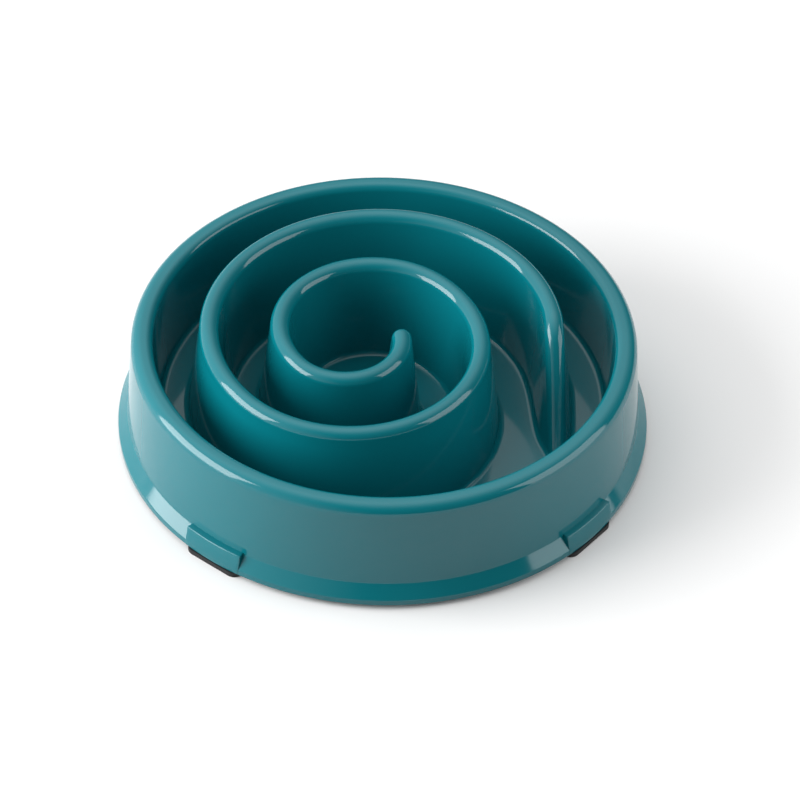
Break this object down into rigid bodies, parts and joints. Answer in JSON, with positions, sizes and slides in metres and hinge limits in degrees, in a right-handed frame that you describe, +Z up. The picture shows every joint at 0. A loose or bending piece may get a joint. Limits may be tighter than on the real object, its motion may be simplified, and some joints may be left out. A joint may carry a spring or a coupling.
{
  "type": "slow feeder bowl",
  "caption": "Round slow-feeding pet bowl: a raised spiral ridge winds over its floor, the wall flares into a skirt with moulded tabs, and rubber feet hold it off the table.",
  "frame": {"origin": "on the bowl's axis, at the level of the table that it stands on", "axes": "+Z up out of the bowl, -Y towards the camera of the picture, +X to its right"},
  "size_m": [0.206, 0.206, 0.0538],
  "materials": {
    "teal_plastic": "polished opaque teal moulding",
    "black_rubber": "matt black rubber"
  },
  "bodies": {
    "root": {"bowl": "teal_plastic", "foot_rear_right": "black_rubber", "foot_rear_left": "black_rubber", "foot_front_left": "black_rubber", "foot_front_right": "black_rubber"}
  },
  "joints": []
}
